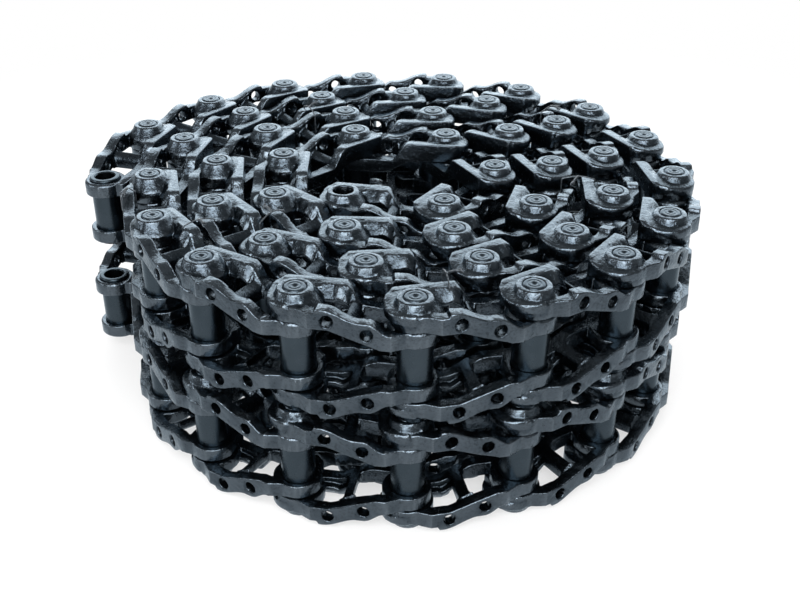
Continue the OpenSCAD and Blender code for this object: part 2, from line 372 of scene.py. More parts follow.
@dataclass(frozen=True)
class SealRubber:
    """Black rubber of the seal rings."""

    body: Colour = (0.012, 0.012, 0.013)
    lit: Colour = (0.030, 0.030, 0.032)

    def material(self) -> bpy.types.Material:
        """Builds the material.

        Returns:
            The finished material.
        """
        t = ShaderTree.of("seal_rubber")
        bloom = t.grain(120.0)
        return t.surface({
            "Base Color": t.mix(bloom.between(0.4, 0.7), self.body, self.lit),
            "Roughness": 0.55 + bloom * 0.2, "Normal": t.bump(bloom, 0.1, 0.0003)})


@dataclass(frozen=True)
class WireSteel:
    """Annealed steel of the tie wires, with a dark scale."""

    body: Colour = (0.045, 0.054, 0.063)
    lit: Colour = (0.16, 0.185, 0.21)

    def material(self) -> bpy.types.Material:
        """Builds the material.

        Returns:
            The finished material.
        """
        t = ShaderTree.of("wire_steel")
        scale = t.grain(260.0)
        return t.surface({
            "Base Color": t.mix(scale.between(0.35, 0.7), self.body, self.lit),
            "Metallic": 0.85, "Roughness": 0.32 + scale * 0.2, "Normal": t.bump(scale, 0.2, 0.0003)})


class PieceTree:
    """A Geometry Nodes tree with named inputs, which makes plain meshes."""

    def __init__(self, name: str, inputs: dict[str, str]) -> None:
        """Starts a tree.

        Args:
            name: Name of the tree.
            inputs: Name of each input to its kind, as in NodeSocketInt.
        """
        self.group = bpy.data.node_groups.new(name, "GeometryNodeTree")
        for label, kind in {"Geometry": "Geometry", **inputs}.items():
            self.group.interface.new_socket(label, in_out="INPUT", socket_type="NodeSocket" + kind)
        self.group.interface.new_socket("Geometry", in_out="OUTPUT", socket_type="NodeSocketGeometry")
        self.enter = self.node("NodeGroupInput")

    def node(self, kind: str, values: Optional[dict[str, Any]] = None, **settings: Any) -> bpy.types.Node:
        """Adds a node.

        Args:
            kind: The node's type.
            values: Input name to a value, or to the output socket that feeds it.
            settings: Properties that are set first.

        Returns:
            The node.
        """
        made = self.group.nodes.new(kind)
        for key, value in settings.items():
            setattr(made, key, value)
        for key, value in (values or {}).items():
            if isinstance(value, bpy.types.NodeSocket):
                self.group.links.new(value, made.inputs[key])
            else:
                made.inputs[key].default_value = value
        return made

    def end(self, geometry: bpy.types.NodeSocket) -> None:
        """Ends the tree: makes copies real and paints them with the input named Finish."""
        real = self.node("GeometryNodeRealizeInstances", {"Geometry": geometry})
        painted = self.node("GeometryNodeSetMaterial", {
            "Geometry": real.outputs["Geometry"], "Material": self.enter.outputs["Finish"]})
        self.node("NodeGroupOutput", {"Geometry": painted.outputs["Geometry"]})

    def _identifier(self, name: str) -> str:
        """Identifier of a named input."""
        for item in self.group.interface.items_tree:
            if item.name == name and item.in_out == "INPUT":
                return item.identifier
        raise KeyError(name)

    def run(self, name: str, start: bpy.types.Mesh, values: dict[str, Any]) -> bpy.types.Object:
        """Runs the tree on a mesh and makes the result a plain mesh.

        Args:
            name: Name of the new object.
            start: Mesh that goes in. It is removed afterwards.
            values: Input name to its value.

        Returns:
            The new object, at the origin.
        """
        carrier = new_object(name + "_start", start)
        modifier = carrier.modifiers.new("tree", "NODES")
        modifier.node_group = self.group
        for label, value in values.items():
            modifier[self._identifier(label)] = value
        mesh = plain_mesh(carrier)
        mesh.name = name
        carrier.modifiers.remove(modifier)
        bpy.data.objects.remove(carrier)
        bpy.data.meshes.remove(start)
        return new_object(name, mesh)


class LayingTree(PieceTree):
    """Lays one piece at every point of a chain, turned to its section, with a random cast of its paint."""

    def __init__(self) -> None:
        """Builds the tree."""
        super().__init__("lay_along_chain", {"Piece": "Object", "Finish": "Material", "Seed": "Int"})
        piece = self.node("GeometryNodeObjectInfo", {"Object": self.enter.outputs["Piece"]})
        turn = self.node("GeometryNodeInputNamedAttribute", {"Name": "turn"}, data_type="FLOAT_VECTOR")
        laid = self.node("GeometryNodeInstanceOnPoints", {
            "Points": self.enter.outputs["Geometry"], "Instance": piece.outputs["Geometry"],
            "Rotation": turn.outputs["Attribute"]})
        chance = self.node("FunctionNodeRandomValue", {"Seed": self.enter.outputs["Seed"]}, data_type="FLOAT")
        cast = self.node("GeometryNodeStoreNamedAttribute", {
            "Geometry": laid.outputs["Instances"], "Name": "cast", "Value": chance.outputs["Value"],
        }, data_type="FLOAT", domain="INSTANCE")
        self.end(cast.outputs["Geometry"])

    def lay(self, name: str, places: Sequence[Matrix], piece: bpy.types.Object,
            finish: bpy.types.Material, seed: int) -> bpy.types.Object:
        """Lays a piece at each place.

        Args:
            name: Name of the new object.
            places: One matrix for each copy, turned about Z only.
            piece: The piece, in its section's own frame.
            finish: Its material.
            seed: Seed of the small difference in tone between copies.

        Returns:
            The new object, at the origin.
        """
        points = bpy.data.meshes.new(name + "_points")
        points.from_pydata([m.translation for m in places], [], [])
        turns = points.attributes.new("turn", "FLOAT_VECTOR", "POINT")
        for k, m in enumerate(places):
            turns.data[k].vector = m.to_euler()
        return self.run(name, points, {"Piece": piece, "Finish": finish, "Seed": seed})


class WireTree(PieceTree):
    """Draws a round wire along every run of edges."""

    def __init__(self) -> None:
        """Builds the tree."""
        super().__init__("wire_along_path", {"Radius": "Float", "Sides": "Int", "Finish": "Material"})
        path = self.node("GeometryNodeMeshToCurve", {"Mesh": self.enter.outputs["Geometry"]})
        ring = self.node("GeometryNodeCurvePrimitiveCircle", {
            "Resolution": self.enter.outputs["Sides"], "Radius": self.enter.outputs["Radius"]})
        wire = self.node("GeometryNodeCurveToMesh", {
            "Curve": path.outputs["Curve"], "Profile Curve": ring.outputs["Curve"], "Fill Caps": True})
        self.end(wire.outputs["Mesh"])


def new_object(name: str, mesh: bpy.types.Mesh) -> bpy.types.Object:
    """Links a new object for a mesh at the origin."""
    made = bpy.data.objects.new(name, mesh)
    bpy.context.scene.collection.objects.link(made)
    return made


def plain_mesh(obj: bpy.types.Object) -> bpy.types.Mesh:
    """The mesh of an object with its modifiers applied."""
    deps = bpy.context.evaluated_depsgraph_get()
    return bpy.data.meshes.new_from_object(obj.evaluated_get(deps), depsgraph=deps)


@dataclass(frozen=True)
class Ramp:
    """A step from one value to another between two places, such as heights across the chain."""

    x0: float
    x1: float
    z0: float
    z1: float

    def height(self, x: float) -> float:
        """Height of the straight step."""
        return self.z0 + (self.z1 - self.z0) * self._share(x)

    def smooth(self, x: float) -> float:
        """Height of a smooth step between the same ends."""
        return self.z0 + (self.z1 - self.z0) * (1 - math.cos(math.pi * self._share(x))) / 2

    def _share(self, x: float) -> float:
        """Share of the step that lies behind."""
        return min(max((x - self.x0) / (self.x1 - self.x0), 0.0), 1.0)


@dataclass
class ForgedLink:
    """The forged link of one hand, softened from its solid, in its section's own frame.

    Sizes are in metres. A section is a closed outline: places across the link, or distances from the pin,
    each with its height across the chain. The plate is written as turns in degrees, distances and heights.
    """

    layout: ChainLayout
    hand: Hand
    voxel: float = 0.0014
    smoothing: int = 4
    triangles: int = 4800
    window_bottom: float = -0.030
    window_top: float = 0.031
    window_blend: float = 0.004
    strut_x: float = 0.098
    strut_half: float = 0.0085
    strut_round: float = 0.0065
    strut_margin: float = 1.15
    inner: Ramp = Ramp(0.0589, 0.1346, 0.0370, 0.0655)
    rail_outer: Ramp = Ramp(0.0589, 0.1246, 0.0645, 0.1015)
    rail_step: Ramp = Ramp(0.0820, 0.1180, 0.0645, 0.1015)
    eye_outer: Ramp = Ramp(0.0689, 0.1346, 0.0645, 0.0945)
    eye_step: Ramp = Ramp(0.0800, 0.1300, 0.0645, 0.0945)
    bar_first: Ramp = Ramp(0.0300, 0.0670, 0.0645, 0.0827)
    bar_second: Ramp = Ramp(0.07725, 0.13925, 0.0827, 0.1015)
    boss_section: Outline = (
        (0.0290, 0.1040), (0.0312, 0.1036), (0.0440, 0.0835), (0.0440, 0.0760), (0.0290, 0.0760))
    boss_turns: range = range(115, 250, 5)
    boss_inside: Ramp = Ramp(0.0225, 0.0280, 0.0, 1.0)
    boss_outside: Ramp = Ramp(0.0335, 0.0365, 1.0, 0.0)
    boss_draft: Ramp = Ramp(0.0960, 0.1090, 0.0, 0.045)
    rail_section: Outline = (
        (-0.0480, -0.0003), (-0.0320, -0.0006), (-0.0165, -0.0200), (-0.0165, -0.0260), (-0.0480, -0.0260))
    rail_stations: tuple[float, ...] = (0.157, 0.1246, 0.1065, 0.0920)
    fillet_section: Outline = (
        (-0.0425, 0.1012), (-0.0300, 0.0985), (-0.0260, 0.0970), (-0.0260, 0.0900), (-0.0425, 0.0900))
    fillet_ends: tuple[float, float] = (-0.036, 0.0285)
    plate: tuple[tuple[float, float, float], ...] = (
        (-112.0, 0.0549, 0.1010), (-90.0, 0.0512, 0.1010), (-69.0, 0.0548, 0.1010), (-56.0, 0.0570, 0.1004),
        (-44.0, 0.0560, 0.0992), (-28.0, 0.0522, 0.0978), (-14.0, 0.0492, 0.0970), (0.0, 0.0480, 0.0966),
        (21.0, 0.0465, 0.0966), (35.0, 0.0446, 0.0966), (48.0, 0.0426, 0.0966), (69.0, 0.0408, 0.0966),
        (80.0, 0.0405, 0.0966))
    plate_edge: Outline = ((0.0040, 0.0004), (0.0012, 0.0016), (0.0, 0.0045))
    plate_inside: float = 0.0280
    plate_bottom: float = 0.0790
    rim_slope: Ramp = Ramp(0.0325, 0.0480, 0.0, 0.0030)
    rim_bottom: Ramp = Ramp(0.0740, 0.0935, 0.0, 1.0)
    rim_top: Ramp = Ramp(0.0960, 0.1000, 1.0, 0.0)
    rim_ahead: tuple[float, float] = (-0.014, -0.002)
    rim_off_rail: Ramp = Ramp(-0.027, -0.020, 0.0, 1.0)
    ring_section: Outline = (
        (0.0188, 0.1070), (0.0225, 0.1070), (0.0225, 0.1094), (0.0206, 0.1094), (0.0193, 0.1083))
    ring_steps: int = 48
    # Masks of the painted highlight on edges and of the painted shade in hollows: their gains, and the rays
    # that find how shut in a point is
    edge_gain: float = 3.5
    hollow_gain: float = 1.3
    hollow_rays: int = 24
    hollow_reach: float = 0.08
    hollow_lift: float = 0.0005

    def source_node(self) -> str:
        """The solid that the link is softened from."""
        return f"{Chain.UPPER.value}_end1_{self.hand.value}_link"

    def build(self) -> bpy.types.Object:
        """Builds the link.

        Returns:
            An object that the chain is laid from. It is removed once the chains are laid.
        """
        rough = new_object(f"{self.hand.value}_link_rough", self._blank())
        remesh = rough.modifiers.new("remesh", "REMESH")
        remesh.mode = "VOXEL"
        remesh.voxel_size = self.voxel
        smooth = rough.modifiers.new("smooth", "SMOOTH")
        smooth.factor = 0.5
        smooth.iterations = self.smoothing
        fine = plain_mesh(rough)
        fine.calc_loop_triangles()
        self._ease_steps(fine)
        rough.modifiers.clear()
        rough.data = fine
        thin = rough.modifiers.new("thin", "DECIMATE")
        thin.ratio = self.triangles / len(fine.loop_triangles)
        final = plain_mesh(rough)
        bpy.data.objects.remove(rough)
        final.materials.clear()
        final.shade_smooth()
        self._mark(final)
        LOG.info("%s link: %d triangles", self.hand.value, len(final.polygons))
        return new_object(f"{self.hand.value}_link_master", final)

    def _blank(self) -> bpy.types.Mesh:
        """The solid's mesh with the draft and fillets of the forging laid on it."""
        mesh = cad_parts[self.source_node()].data.copy()
        mesh.transform(self.layout.place(Chain.UPPER, 0).inverted())
        weld(mesh)
        work = bmesh.new()
        work.from_mesh(mesh)
        self._window_slope(work)
        self._rail_slope(work)
        self._rail_fillet(work)
        self._end_plate(work)
        self._paint_ring(work)
        work.to_mesh(mesh)
        work.free()
        return mesh

    def _side(self) -> float:
        """Sign of the heights of this hand's link."""
        return 1.0 if self.hand is Hand.LEFT else -1.0

    def _loft(self, work: bmesh.types.BMesh, rings: Sequence[Sequence[tuple[float, float, float]]],
              whole: bool) -> None:
        """Adds a closed solid through rings of points, on this hand's side.

        Args:
            work: Mesh that it is added to.
            rings: Its sections in order.
            whole: Whether the last section joins the first. Otherwise both ends are capped.
        """
        made = [[work.verts.new((x, y, z * self._side())) for x, y, z in ring] for ring in rings]
        pairs = list(zip(made, made[1:] + made[:1] if whole else made[1:]))
        faces = [] if whole else [work.faces.new(made[0]), work.faces.new(made[-1])]
        for low, high in pairs:
            for c, corner in enumerate(low):
                n = (c + 1) % len(low)
                faces.append(work.faces.new((corner, low[n], high[n], high[c])))
        bmesh.ops.recalc_face_normals(work, faces=faces)

    def _round_pin(self, section: Sequence[tuple[float, float]],
                   turn: float) -> list[tuple[float, float, float]]:
        """A section, as distances from the pin and heights, turned round the pin by an angle in radians."""
        return [(self.layout.pitch + r * math.cos(turn), r * math.sin(turn), z) for r, z in section]

    def _window_slope(self, work: bmesh.types.BMesh) -> None:
        """Adds the slope from the pin boss down into the nut window."""
        turns = [math.radians(turn) for turn in self.boss_turns]
        self._loft(work, [self._round_pin(self.boss_section, turn) for turn in turns], False)

    def _rail_slope(self, work: bmesh.types.BMesh) -> None:
        """Adds the slope from the rail down into the nut window and onto the strut."""
        self._loft(work, [[(x, y, self.rail_outer.height(x) + z) for y, z in self.rail_section]
                          for x in self.rail_stations], False)

    def _rail_fillet(self, work: bmesh.types.BMesh) -> None:
        """Adds the broad fillet between the rail and the pin boss."""
        ends = [self.layout.pitch + end for end in self.fillet_ends]
        self._loft(work, [[(x, y, z) for y, z in self.fillet_section] for x in ends], False)

    def _end_plate(self, work: bmesh.types.BMesh) -> None:
        """Adds the squarish plate that the rail runs into in front of the pin boss."""
        rings = []
        for turn, r, top in self.plate:
            edge = [(r - inset, top - drop) for inset, drop in self.plate_edge]
            section = [(self.plate_inside, top), *edge, (r, self.plate_bottom),
                       (self.plate_inside, self.plate_bottom)]
            rings.append(self._round_pin(section, math.radians(turn)))
        self._loft(work, rings, False)

    def _paint_ring(self, work: bmesh.types.BMesh) -> None:
        """Adds the paint that fills most of the groove round the pin end."""
        turns = [math.tau * k / self.ring_steps for k in range(self.ring_steps)]
        self._loft(work, [self._round_pin(self.ring_section, turn) for turn in turns], True)

    def _ease_steps(self, mesh: bpy.types.Mesh) -> None:
        """Turns the straight steps of the rail, the strut and the shoe bar into smooth ones."""
        pin, blend = self.layout.pitch, self.window_blend
        at_rail = Ramp(self.window_bottom + blend, self.window_bottom - blend, 0.0, 1.0)
        at_bar = Ramp(self.window_top - blend, self.window_top + blend, 0.0, 1.0)
        first, second = self.bar_first, self.bar_second
        for vert in mesh.vertices:
            x, y, z = vert.co
            z *= self._side()
            rail = self._ease_of(self.rail_outer, self.rail_step, x, z)
            eye = self._ease_of(self.eye_outer, self.eye_step, x, z) - self._strut_drop(x, z)
            bar_top = first.height(x) + second.height(x) - second.z0
            bar_share = Ramp(self.inner.height(x), bar_top, 0.0, 1.0).height(z)
            bar = bar_share * (first.smooth(x) + second.smooth(x) - second.z0 - bar_top)
            to_rail, to_bar = at_rail.height(y), at_bar.height(y)
            draw = self._boss_draw(x, y, z)
            z += rail * to_rail + bar * to_bar + eye * (1 - to_rail - to_bar) - self._rim_drop(x, y, z)
            vert.co = (pin + (x - pin) * draw, y * draw, z * self._side())

    def _ease_of(self, outer: Ramp, step: Ramp, x: float, z: float) -> float:
        """Ease at a height between the inner step and an outer one.

        Args:
            outer: The straight outer step of the solid.
            step: The smooth step that takes its place.
            x: Place along the link.
            z: Height across the chain.

        Returns:
            How far the point moves outwards.
        """
        low, high = self.inner.height(x), outer.height(x)
        share = Ramp(low, high, 0.0, 1.0).height(z)
        return (self.inner.smooth(x) - low) * (1 - share) + (step.smooth(x) - high) * share

    def _strut_drop(self, x: float, z: float) -> float:
        """How far the strut's outer side is rounded off."""
        off = abs(x - self.strut_x) / self.strut_half
        if off > self.strut_margin:
            return 0.0
        share = Ramp(self.inner.height(x), self.eye_outer.height(x), 0.0, 1.0).height(z)
        return share * self.strut_round * (1 - math.sqrt(1 - min(off, 1.0) ** 2))

    def _boss_draw(self, x: float, y: float, z: float) -> float:
        """Share of its distance from the pin that a point on the wall of the boss keeps."""
        r = math.hypot(x - self.layout.pitch, y)
        return 1.0 - self.boss_draft.height(z) * (self.boss_inside.height(r) * self.boss_outside.height(r))

    def _rim_drop(self, x: float, y: float, z: float) -> float:
        """How far the rim round the outer side of the pin eye is sloped off."""
        pin = self.layout.pitch
        slope = self.rim_slope.height(math.hypot(x - pin, y))
        share = self.rim_bottom.height(z) * self.rim_top.height(z)
        start, stop = self.rim_ahead
        ahead = Ramp(pin + start, pin + stop, 0.0, 1.0).height(x)
        return slope * share * ahead * self.rim_off_rail.height(y)

    def _mark(self, mesh: bpy.types.Mesh) -> None:
        """Stores how far each point stands out as an edge, lies in hollows and faces up or down: the masks of
        the painted highlight on edges, the painted shade in hollows and the painted sheen on flat faces.
        """
        work = bmesh.new()
        work.from_mesh(mesh)
        work.normal_update()
        tree = BVHTree.FromBMesh(work)
        marks: dict[str, list[float]] = {"edge": [], "hollow": [], "flat": []}
        for vert in work.verts:
            ring = [e.other_vert(vert).co for e in vert.link_edges]
            mean = sum(ring, Vector()) / max(len(ring), 1)
            span = sum((p - vert.co).length for p in ring) / max(len(ring), 1)
            lift = (vert.co - mean).dot(vert.normal) / max(span, 1e-6)
            marks["edge"].append(min(max(lift * self.edge_gain, 0.0), 1.0))
            marks["flat"].append(abs(vert.normal.z) ** 4)
            marks["hollow"].append(min(self._blocked(tree, vert) / self.hollow_rays * self.hollow_gain, 1.0))
        work.free()
        for name, values in marks.items():
            mesh.attributes.new(name, "FLOAT", "POINT").data.foreach_set("value", values)

    def _blocked(self, tree: BVHTree, vert: bmesh.types.BMVert) -> int:
        """How many rays, spread over the half sphere above a point, meet the link again nearby."""
        golden = math.pi * (3 - math.sqrt(5))
        side = vert.normal.orthogonal().normalized()
        other = vert.normal.cross(side)
        start = vert.co + vert.normal * self.hollow_lift
        blocked = 0
        for k in range(self.hollow_rays):
            up = 1 - (k + 0.5) / self.hollow_rays
            out = math.sqrt(1 - up * up)
            way = vert.normal * up + (side * math.cos(k * golden) + other * math.sin(k * golden)) * out
            if tree.ray_cast(start, way, self.hollow_reach)[0] is not None:
                blocked += 1
        return blocked


def weld(mesh: bpy.types.Mesh) -> None:
    """Merges the loose triangles of a solid's mesh."""
    work = bmesh.new()
    work.from_mesh(mesh)
    bmesh.ops.remove_doubles(work, verts=work.verts, dist=1e-6)
    work.to_mesh(mesh)
    work.free()


@dataclass
class TurnedPiece:
    """A piece turned from a half outline round an axis parallel to Z."""

    name: str
    outline: Sequence[tuple[float, float]]
    axis_x: float = 0.0
    closed: bool = True
    segments: int = 40
    both_ends: bool = False
    sharp_deg: float = 38.0

    def build(self) -> bpy.types.Object:
        """Builds the piece.

        Returns:
            An object that the chain is laid from. It is removed once the chains are laid.
        """
        work = bmesh.new()
        self._spin(work, self.outline)
        if self.both_ends:
            self._spin(work, [(r, -z) for r, z in self.outline])
        bmesh.ops.remove_doubles(work, verts=work.verts, dist=1e-6)
        bmesh.ops.recalc_face_normals(work, faces=work.faces)
        for edge in work.edges:
            if len(edge.link_faces) == 2:
                edge.smooth = edge.calc_face_angle(0.0) < math.radians(self.sharp_deg)
        for face in work.faces:
            face.smooth = True
        mesh = bpy.data.meshes.new(self.name)
        work.to_mesh(mesh)
        work.free()
        return new_object(self.name + "_master", mesh)

    def _spin(self, work: bmesh.types.BMesh, outline: Sequence[tuple[float, float]]) -> None:
        """Adds one turned outline."""
        rings = []
        for r, z in outline:
            if r < 1e-7:
                rings.append([work.verts.new((self.axis_x, 0, z))] * self.segments)
                continue
            angles = [math.tau * k / self.segments for k in range(self.segments)]
            rings.append([work.verts.new((self.axis_x + r * math.cos(a), r * math.sin(a), z))
                          for a in angles])
        pairs = list(zip(rings, rings[1:]))
        if self.closed:
            pairs.append((rings[-1], rings[0]))
        for low, high in pairs:
            for k in range(self.segments):
                n = (k + 1) % self.segments
                corners = list(dict.fromkeys((low[k], low[n], high[n], high[k])))
                if len(corners) > 2:
                    work.faces.new(corners)


@dataclass
class TurnedSizes:
    """Sizes of the pins, bushings and seals, in metres."""

    pin_r: float = 0.019
    pin_end: float = 0.1105
    bushing_r: float = 0.0295
    bushing_end: float = 0.0695
    bore_r: float = 0.0192
    chamfer: float = 0.002
    pocket_r: float = 0.0317
    pocket_floor: float = 0.0755
    seal_gap: float = 0.0003
    groove_r: float = 0.0105
    groove_half: float = 0.0008
    centre_r: tuple[float, float] = (0.0045, 0.0055)
    rim_width: float = 0.0028
    rim_drop: float = 0.0034

    def bushing(self) -> TurnedPiece:
        """Bushing with a rounded rim."""
        c = self.chamfer
        outer, end, bore = self.bushing_r, self.bushing_end, self.bore_r
        half = [(outer, end - 2 * c), (outer - 0.1 * c, end - c), (outer - 0.4 * c, end - 0.4 * c),
                (outer - c, end - 0.1 * c), (outer - 2 * c, end), (bore + c, end), (bore, end - c)]
        outline = half + [(r, -z) for r, z in reversed(half)]
        return TurnedPiece("bushing", outline)

    def pin(self, pitch: float) -> TurnedPiece:
        """Pin with a rounded rim, a turned groove and a centre in each end."""
        c = self.chamfer
        r, end = self.pin_r, self.pin_end
        groove, half_groove = self.groove_r, self.groove_half
        rim, drop = self.rim_width, self.rim_drop
        half = [(0.0, end - 2 * c), (self.centre_r[0], end - 0.3 * c), (self.centre_r[1], end),
                (groove - half_groove, end), (groove, end - 0.3 * c), (groove + half_groove, end),
                (r - rim, end), (r - 0.8 * rim, end - 0.1 * drop), (r - 0.1 * rim, end - 0.9 * drop),
                (r, end - drop)]
        outline = half + [(x, -z) for x, z in reversed(half)]
        return TurnedPiece("pin", outline, axis_x=pitch, closed=False)

    def seals(self, pitch: float) -> TurnedPiece:
        """The two seal rings of a joint."""
        inner, outer = self.pin_r + self.seal_gap, self.pocket_r
        lip, floor = self.bushing_end + self.seal_gap, self.pocket_floor
        waist = (lip + floor) / 2
        outline = [(inner, waist), ((inner + outer) / 2, lip), (self.bushing_r - self.chamfer, lip),
                   (outer, waist), (outer, floor), (inner, floor)]
        return TurnedPiece("seals", outline, axis_x=pitch, both_ends=True)


@dataclass
class TrackChain:
    """One chain of the stack: lays its pieces and hangs them on their bodies."""

    chain: Chain
    layout: ChainLayout
    laying: LayingTree
    masters: dict[str, bpy.types.Object]
    finishes: dict[str, bpy.types.Material]
    slots: dict[str, str]

    def build(self) -> None:
        """Builds the wound turns, the free outer end and the free inner end."""
        name = self.chain.value
        for kind in self.masters:
            plural = kind if kind.endswith("s") else kind + "s"
            self._piece(f"{name}_coil_{plural}", "wound_coils", kind, self.layout.wound())
        for section in range(self.layout.free_sections):
            body = f"{name}_end{section + 1}"
            for kind in self.masters:
                self._piece(f"{body}_{kind}", body, kind, [section])
        body = f"{name}_inner"
        for kind in ("left_link", "right_link", "bushing"):
            self._piece(f"{body}_{kind}", body, kind, [self.layout.sections - 1])

    def _piece(self, node: str, body: str, kind: str, sections: Sequence[int]) -> None:
        """Lays one kind of piece in some sections, in place of a node.

        Args:
            node: The node that it stands for.
            body: The body that it rides on.
            kind: The master that is laid.
            sections: The sections that it is laid in.
        """
        places = [self.layout.place(self.chain, i) for i in sections]
        seed = sum(ord(letter) for letter in node)
        made = self.laying.lay(node + "_dressed", places, self.masters[kind], self.finishes[kind], seed)
        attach(made, body)
        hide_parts(node)
        LOG.info("%s: %d copies on %s", made.name, len(places), body)


@dataclass
class TieWires:
    """Wire ties between the turns of the upper coil.

    Each is bent round its bars, and its ends are twisted together. Sizes are in metres, the lead heading is
    in degrees, and spans give the least and the most of what differs between ties.
    """

    finish: bpy.types.Material
    lead: float = 143.5
    solid_r: float = 0.0015
    wire_r: float = 0.0013
    sides: int = 8
    bend: float = 0.0035
    bend_turns: range = range(0, 91, 18)
    arch_steps: int = 12
    rise: float = 0.007
    rise_span: tuple[float, float] = (0.6, 1.2)
    lean_span: tuple[float, float] = (-0.8, 0.8)
    lift_span: tuple[float, float] = (0.15, 0.45)
    tail: float = 0.034
    tail_span: tuple[float, float] = (0.8, 1.2)
    tail_steps: int = 40
    tail_droop: float = 0.010
    twists: float = 3.5
    splay_from: float = 0.85
    splay: float = 14.0
    seed: int = 11

    def build(self) -> None:
        """Builds the wires on the loops of their solids."""
        chance = random.Random(self.seed)
        points: list[Vector] = []
        edges: list[tuple[int, int]] = []
        for loop in self._loops():
            for run, closed in self._runs(loop, chance):
                first = len(points)
                points += run
                edges += [(k, k + 1) for k in range(first, len(points) - 1)]
                if closed:
                    edges.append((len(points) - 1, first))
        path = bpy.data.meshes.new("wire_path")
        path.from_pydata(points, edges, [])
        made = WireTree().run("tie_wires_dressed", path, {
            "Radius": self.wire_r, "Sides": self.sides, "Finish": self.finish})
        made.data.shade_smooth()
        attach(made, "wound_coils")
        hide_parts("tie_wires")
        LOG.info("tie wires: %d points", len(points))

    def _loops(self) -> list[tuple[Vector, Vector]]:
        """Finds the loops in the wires' solid.

        Returns:
            Two opposite corners of each loop: the foot of one leg and the top of the other.
        """
        work = bmesh.new()
        work.from_mesh(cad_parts["tie_wires"].data)
        bmesh.ops.remove_doubles(work, verts=work.verts, dist=1e-6)
        work.verts.index_update()
        work.verts.ensure_lookup_table()
        loops = []
        left = set(range(len(work.verts)))
        while left:
            island, queue = [], [min(left)]
            left.discard(queue[0])
            while queue:
                vert = work.verts[queue.pop()]
                island.append(vert.co.copy())
                near = sorted({e.other_vert(vert).index for e in vert.link_edges} & left)
                left.difference_update(near)
                queue += near
            loops.append(self._corners(island))
        work.free()
        return loops

    def _corners(self, island: Sequence[Vector]) -> tuple[Vector, Vector]:
        """The foot of one leg and the top of the other, on the middle line of the wire.

        The line between the legs is the long axis of the points seen from above, and it runs towards the lead
        heading, so that rounding doesn't decide which leg comes first.
        """
        middle = sum(island, Vector()) / len(island)
        flat = [p.xy - middle.xy for p in island]
        turn = math.atan2(2 * sum(p.x * p.y for p in flat), sum(p.x * p.x - p.y * p.y for p in flat)) / 2
        along = Vector((math.cos(turn), math.sin(turn)))
        if math.cos(turn - math.radians(self.lead)) < 0:
            along.negate()
        reach = sorted(p.dot(along) for p in flat)
        heights = sorted(p.z for p in island)
        foot = middle.xy + along * (reach[0] + self.solid_r)
        top = middle.xy + along * (reach[-1] - self.solid_r)
        return (Vector((*foot, heights[0] + self.solid_r)), Vector((*top, heights[-1] - self.solid_r)))

    def _runs(self, loop: tuple[Vector, Vector], chance: random.Random) -> list[tuple[list[Vector], bool]]:
        """Middle lines of a tie: its loop and the two strands of its twisted end.

        Args:
            loop: Two opposite corners of the loop.
            chance: Source of the small differences between ties.

        Returns:
            Runs of points, each with whether it is closed.
        """
        foot, top = loop
        along = (top.xy - foot.xy).to_3d()
        width, height = along.length, top.z - foot.z
        along.normalize()
        up = Vector((0, 0, 1))
        rise = self.rise * chance.uniform(*self.rise_span)
        runs = [([foot + along * x + up * z for x, z in self._ring(width, height, rise)], True)]
        side = along.cross(up) * chance.choice((-1, 1))
        way = along * chance.uniform(*self.lean_span) + side + up * chance.uniform(*self.lift_span)
        way.normalize()
        n1 = way.orthogonal().normalized()
        n2 = way.cross(n1)
        start = foot + along * width / 2 + up * (height + rise)
        length = self.tail * chance.uniform(*self.tail_span)
        for phase in (0.0, math.pi):
            strand = []
            for k in range(self.tail_steps + 1):
                t = k / self.tail_steps
                a = math.tau * self.twists * t + phase
                spread = self.wire_r * (1.0 + self.splay * max(t - self.splay_from, 0.0))
                off = (n1 * math.cos(a) + n2 * math.sin(a)) * spread - up * self.tail_droop * t * t
                strand.append(start + way * length * t + off)
            runs.append((strand, False))
        return runs

    def _ring(self, width: float, height: float, rise: float) -> list[tuple[float, float]]:
        """Points of a loop with rounded corners and an arched top, from its foot along and up."""
        b = self.bend

        def corner(x: float, z: float, start: int) -> list[tuple[float, float]]:
            """A quarter bend round a point."""
            turns = [math.radians(start + turn) for turn in self.bend_turns]
            return [(x + b * math.cos(a), z + b * math.sin(a)) for a in turns]

        ring = corner(b, b, 180) + corner(width - b, b, 270) + corner(width - b, height - b, 0)
        for k in range(1, self.arch_steps):
            t = k / self.arch_steps
            ring.append((width - b - (width - 2 * b) * t, height + rise * math.sin(math.pi * t)))
        return ring + corner(b, height - b, 90)


@dataclass(frozen=True)
class Softbox:
    """A rectangular lamp, width by height in metres and power in watts, that the camera doesn't see."""

    name: str
    spot: tuple[float, float, float]
    size: tuple[float, float]
    power: float

    def build(self, aim: Vector) -> None:
        """Adds the lamp, turned to look at a point."""
        lamp = bpy.data.lights.new(self.name, "AREA")
        lamp.shape = "RECTANGLE"
        lamp.size, lamp.size_y = self.size
        lamp.energy = self.power
        made = bpy.data.objects.new(self.name, lamp)
        made.location = self.spot
        made.rotation_euler = (aim - Vector(self.spot)).to_track_quat("-Z", "Y").to_euler()
        made.visible_camera = False
        bpy.context.scene.collection.objects.link(made)


